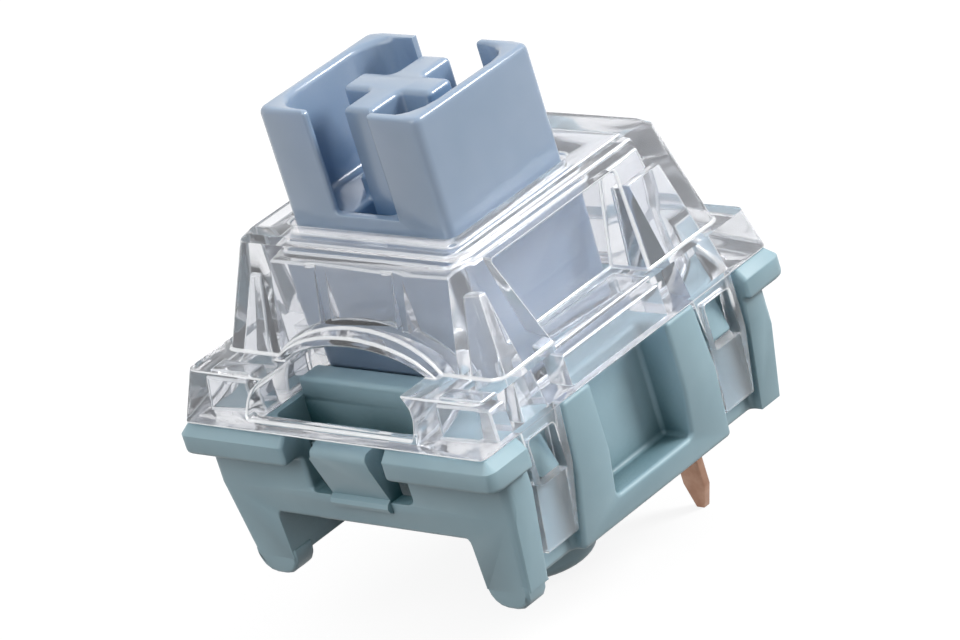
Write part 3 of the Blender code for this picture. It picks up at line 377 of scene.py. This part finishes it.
def crossed_places(mesh):
    """Points where a face's outline crosses itself, for faces whose triangles don't all face the same
    way. Two sides cross where both have come less than their whole length at the point where their
    lines meet. How far one has come is the gap between their starts crossed with the other side, over
    one side crossed with the other."""
    mesh.calc_loop_triangles()
    count = len(mesh.loop_triangles)
    corners, owner = np.empty(count * 3, int), np.empty(count, int)
    mesh.loop_triangles.foreach_get("vertices", corners)
    mesh.loop_triangles.foreach_get("polygon_index", owner)
    points, normals = np.empty(len(mesh.vertices) * 3), np.empty(len(mesh.polygons) * 3)
    mesh.vertices.foreach_get("co", points)
    mesh.polygons.foreach_get("normal", normals)
    points, normals, corners = points.reshape(-1, 3), normals.reshape(-1, 3), corners.reshape(-1, 3)
    a, b, c = points[corners[:, 0]], points[corners[:, 1]], points[corners[:, 2]]
    facing = (np.cross(b - a, c - a) * normals[owner]).sum(1)
    places = []
    for face in set(owner[facing < -2 * SLIVER_AREA].tolist()):
        ring = points[list(mesh.polygons[face].vertices)]
        along = np.roll(ring, -1, 0) - ring
        between = ring[None] - ring[:, None]
        cross = np.cross(along[:, None], along[None]) @ normals[face]
        cross = np.where(np.abs(cross) < PARALLEL, np.inf, cross)
        s = np.cross(between, along[None]) @ normals[face] / cross
        t = np.cross(between, along[:, None]) @ normals[face] / cross
        met = (np.minimum(s, t) > EDGE_END) & (np.maximum(s, t) < 1 - EDGE_END)
        first = np.nonzero(met)[0]
        places.extend(ring[first] + s[met][:, None] * along[first])
        if len(ring) < SMALL_RING or not first.size:
            places.append(ring.mean(0))
    return np.array(places).reshape(-1, 3)


def ease_rounding(piece):
    """Round less near each place where two rounded edges would run into each other: each edge within
    reach of it gets half its weight, and the rounded mesh is looked at again. Edges left almost
    unrounded stay sharp."""
    mesh = piece.data
    ends = np.empty(len(mesh.edges) * 2, int)
    mesh.edges.foreach_get("vertices", ends)
    points = np.empty(len(mesh.vertices) * 3)
    mesh.vertices.foreach_get("co", points)
    start, stop = points.reshape(-1, 3)[ends.reshape(-1, 2)].transpose(1, 0, 2)
    along = stop - start
    weight = np.empty(len(mesh.edges))
    mesh.attributes["bevel_weight_edge"].data.foreach_get("value", weight)
    for _ in range(EASING_ROUNDS):
        bpy.context.view_layer.update()
        rounded = piece.evaluated_get(bpy.context.evaluated_depsgraph_get())
        places = crossed_places(rounded.to_mesh())
        rounded.to_mesh_clear()
        if not len(places):
            break
        for place in places:
            share = np.clip(((place - start) * along).sum(1) / (along ** 2).sum(1), 0, 1)
            near = np.linalg.norm(start + share[:, None] * along - place, axis=1) < EASING_REACH
            weight[near] *= EASING
        mesh.attributes["bevel_weight_edge"].data.foreach_set("value", weight)
    was_sharp = np.empty(len(mesh.edges), bool)
    mesh.edges.foreach_get("use_edge_sharp", was_sharp)
    mesh.edges.foreach_set("use_edge_sharp", was_sharp & (weight < LEAST_WEIGHT))


def softened(node, name, materials, body, edge, segments=3):
    """A CAD node's form as one merged mesh, its edges rounded to the given width, in the given number
    of steps, or as far as there is room. A second material, if there is one, goes on the rounded
    edges."""
    bm = bmesh.new()
    bm.from_mesh(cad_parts[node].data)
    bmesh.ops.remove_doubles(bm, verts=bm.verts, dist=MERGE_REACH)
    bmesh.ops.dissolve_limit(bm, angle_limit=math.radians(FLAT_ANGLE), verts=bm.verts, edges=bm.edges)
    weight = bm.edges.layers.float.new("bevel_weight_edge")
    bounds = [seam for seam in bm.edges if seam.calc_face_angle(0.0) > math.radians(CREASE_ANGLE)]
    seams = [seam for seam in bounds if seam.calc_face_angle(0.0) > math.radians(SHARP_ANGLE)]
    for seam in bm.edges:
        seam.smooth = True
    for seam, room in zip(seams, face_room(seams, bounds)):
        seam[weight] = min(1.0, corner_room(seam) / edge, room / edge)
        seam.smooth = False
    for face in bm.faces:
        face.smooth = True
    mesh = bpy.data.meshes.new(name)
    bm.to_mesh(mesh)
    bm.free()
    mesh.materials.clear()
    for material in materials:
        mesh.materials.append(material)
    piece = bpy.data.objects.new(name, mesh)
    bpy.context.scene.collection.objects.link(piece)
    bevel = piece.modifiers.new("moulded_edges", "BEVEL")
    bevel.width = edge
    bevel.segments = segments
    bevel.limit_method = "WEIGHT"
    bevel.use_clamp_overlap = False
    bevel.loop_slide = False
    bevel.miter_outer = "MITER_ARC"
    bevel.material = len(materials) - 1
    ease_rounding(piece)
    bevel.harden_normals = True
    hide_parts(node)
    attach(piece, body)
    return piece


def coil_spring(material):
    """Wire swept round a helix. Its centre goes round at an even rate and rises slowly in the closed
    end turns, faster between them. Each ring is a circle of the wire's radius on the outward normal and
    the binormal."""
    low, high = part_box("return_spring")
    radius = (high.x - low.x) / 2 - WIRE_RADIUS
    t = np.linspace(0.0, COIL_TURNS, COIL_TURNS * STEPS_PER_TURN + 1)
    closed_pitch = 2 * WIRE_RADIUS * CLOSED_SPACING
    open_turns = COIL_TURNS - 2 * CLOSED_TURNS
    rise = high.z - low.z - 2 * WIRE_RADIUS
    open_pitch = (rise - 2 * CLOSED_TURNS * closed_pitch) / open_turns
    open_part = np.clip(t - CLOSED_TURNS, 0.0, open_turns)
    z = low.z + WIRE_RADIUS + (t - open_part) * closed_pitch + open_part * open_pitch
    angle = 2 * np.pi * t
    centre = np.stack([radius * np.cos(angle), radius * np.sin(angle), z], 1)
    tangent = np.gradient(centre, axis=0)
    tangent /= np.linalg.norm(tangent, axis=1)[:, None]
    normal = np.stack([np.cos(angle), np.sin(angle), np.zeros_like(angle)], 1)
    binormal = np.cross(tangent, normal)
    around = 2 * np.pi * np.arange(WIRE_SIDES) / WIRE_SIDES
    grid = centre[:, None] + WIRE_RADIUS * (
        np.cos(around)[None, :, None] * normal[:, None] + np.sin(around)[None, :, None] * binormal[:, None]
    )
    return tube_piece("spring_coil", grid, material)


def tube_piece(name, grid, material):
    """A closed tube from a grid of rings: walls between rings, a fan at each end."""
    rings, sides = grid.shape[:2]
    ends = np.stack([grid[0].mean(0), grid[-1].mean(0)])
    points = np.concatenate([grid.reshape(-1, 3), ends])
    ring, side = np.meshgrid(np.arange(rings - 1), np.arange(sides), indexing="ij")
    after = (side + 1) % sides
    walls = np.stack([
        ring * sides + side, (ring + 1) * sides + side, (ring + 1) * sides + after, ring * sides + after,
    ], -1).reshape(-1, 4)
    k = np.arange(sides)
    first = np.stack([np.full(sides, rings * sides), k, (k + 1) % sides], 1)
    base = (rings - 1) * sides
    last = np.stack([np.full(sides, rings * sides + 1), base + (k + 1) % sides, base + k], 1)
    mesh = bpy.data.meshes.new(name)
    mesh.from_pydata(points.tolist(), [], walls.tolist() + first.tolist() + last.tolist())
    bm = bmesh.new()
    bm.from_mesh(mesh)
    bmesh.ops.recalc_face_normals(bm, faces=bm.faces)
    bm.to_mesh(mesh)
    bm.free()
    mesh.shade_smooth()
    mesh.materials.append(material)
    piece = bpy.data.objects.new(name, mesh)
    bpy.context.scene.collection.objects.link(piece)
    return piece


# Stage


def seen_share(tree):
    """1 where the camera sees the surround, also by way of gloss or clear plastic, and 0 where it
    lights a piece. A ray that has left a matt surface lights it, whatever it passes on its way."""
    ray = add_node(tree, "LightPath").outputs
    gloss = add_node(tree, "Math", {0: ray["Is Camera Ray"], 1: ray["Is Glossy Ray"]}, operation="MAXIMUM")
    seen = add_node(tree, "Math", {0: gloss.outputs[0], 1: ray["Is Transmission Ray"]}, operation="MAXIMUM")
    direct = add_node(tree, "Math", {0: ray["Diffuse Depth"], 1: 0.5}, operation="LESS_THAN")
    share = add_node(tree, "Math", {0: seen.outputs[0], 1: direct.outputs[0]}, operation="MULTIPLY")
    return share.outputs["Value"]


def studio_floor():
    """A wide pale floor that reads white, keeps the switch's shadow and throws little light back up at
    it."""
    material, tree = new_material("white_floor")
    bounced = add_node(tree, "LightPath").outputs["Is Diffuse Ray"]
    colour = add_node(tree, "MixRGB", {"Fac": bounced, "Color1": FLOOR_COLOUR, "Color2": FLOOR_BOUNCE})
    lit = add_node(tree, "BsdfDiffuse", {"Color": colour.outputs["Color"]})
    strength = add_node(tree, "Math", {0: seen_share(tree), 1: FLOOR_LIFT}, operation="MULTIPLY")
    lift = add_node(tree, "Emission", {"Strength": strength.outputs["Value"]})
    both = add_node(tree, "AddShader", {0: lit.outputs["BSDF"], 1: lift.outputs["Emission"]})
    close_material(tree, both.outputs["Shader"])
    corners = [(-FLOOR_HALF, -FLOOR_HALF, 0), (FLOOR_HALF, -FLOOR_HALF, 0),
               (FLOOR_HALF, FLOOR_HALF, 0), (-FLOOR_HALF, FLOOR_HALF, 0)]
    mesh = bpy.data.meshes.new("floor")
    mesh.from_pydata(corners, [], [(0, 1, 2, 3)])
    mesh.materials.append(material)
    floor = bpy.data.objects.new("floor", mesh)
    bpy.context.scene.collection.objects.link(floor)


def area_lamp(name, place, power, size):
    """A soft square lamp aimed at the switch."""
    data = bpy.data.lights.new(name, "AREA")
    data.energy = power
    data.size = size
    lamp = bpy.data.objects.new(name, data)
    lamp.location = place
    lamp.rotation_euler = (LAMP_AIM - place).to_track_quat("-Z", "Y").to_euler()
    bpy.context.scene.collection.objects.link(lamp)


def studio_light():
    """A key from the upper right back, a fill from the upper front, and a surround that is brighter
    above."""
    area_lamp("key", KEY_PLACE, KEY_POWER, KEY_SIZE)
    area_lamp("fill", FILL_PLACE, FILL_POWER, FILL_SIZE)
    world = bpy.data.worlds.new("studio")
    bpy.context.scene.world = world
    world.use_nodes = True
    tree = world.node_tree
    heading = add_node(tree, "SeparateXYZ", {0: add_node(tree, "TexCoord").outputs["Generated"]})
    sky = add_node(tree, "MapRange", {"Value": heading.outputs["Z"], "To Min": SKY_LOW, "To Max": SKY_HIGH})
    strength = add_node(tree, "MapRange", {
        "Value": seen_share(tree), "To Min": sky.outputs["Result"], "To Max": 1.0,
    })
    background = tree.nodes["Background"]
    background.inputs["Color"].default_value = (1.0, 1.0, 1.0, 1.0)
    tree.links.new(strength.outputs["Result"], background.inputs["Strength"])


def photo_camera():
    """Camera at the photograph's place, turned by azimuth and elevation, rolled about its line of
    sight."""
    azimuth, elevation, roll = (math.radians(turn) for turn in (VIEW_AZIMUTH, VIEW_ELEVATION, VIEW_ROLL))
    back = Vector((math.sin(azimuth) * math.cos(elevation), -math.cos(azimuth) * math.cos(elevation),
                   math.sin(elevation)))
    level_right = Vector((math.cos(azimuth), math.sin(azimuth), 0.0))
    level_up = back.cross(level_right)
    right = math.cos(roll) * level_right - math.sin(roll) * level_up
    up = back.cross(right)
    data = bpy.data.cameras.new("photo_camera")
    data.sensor_width = SENSOR_WIDTH
    data.lens = FOCAL_PIXELS / FRAME_WIDTH * SENSOR_WIDTH
    data.clip_start = CLIP_NEAR
    data.clip_end = CLIP_FAR
    camera = bpy.data.objects.new("photo_camera", data)
    camera.matrix_world = Matrix.Translation(VIEW_PLACE) @ Matrix((right, up, back)).transposed().to_4x4()
    bpy.context.scene.collection.objects.link(camera)
    bpy.context.scene.camera = camera


def dress_switch():
    """Every visible piece of the switch."""
    nylon, acetal, clear = moulded_nylon(), moulded_acetal(), clear_polycarbonate()
    bronze, steel, gold = stamped_bronze(), drawn_steel(), contact_gold()
    softened("bottom_housing", "base_shell", [nylon], "housing", BASE_EDGE)
    softened("top_housing", "clear_hood", [clear, clear_rim()], "housing", HOOD_EDGE)
    softened("stem", "blue_slider", [acetal], "stem", STEM_EDGE)
    softened("fixed_contact", "fixed_terminal", [bronze], "housing", TERMINAL_EDGE, 2)
    softened("moving_terminal", "leaf_terminal", [bronze], "housing", TERMINAL_EDGE, 2)
    softened("contact_leaf", "leaf_arms", [bronze], "leaf", STRIP_EDGE, 2)
    softened("fixed_crosspoint", "fixed_gold_bar", [gold], "housing", STRIP_EDGE, 2)
    softened("moving_crosspoint", "moving_gold_bar", [gold], "leaf", STRIP_EDGE, 2)
    coil = coil_spring(steel)
    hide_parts("return_spring")
    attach(coil, "housing")
    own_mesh(coil)


photo_camera()
studio_floor()
studio_light()
dress_switch()
bpy.context.scene.view_settings.view_transform = "Standard"
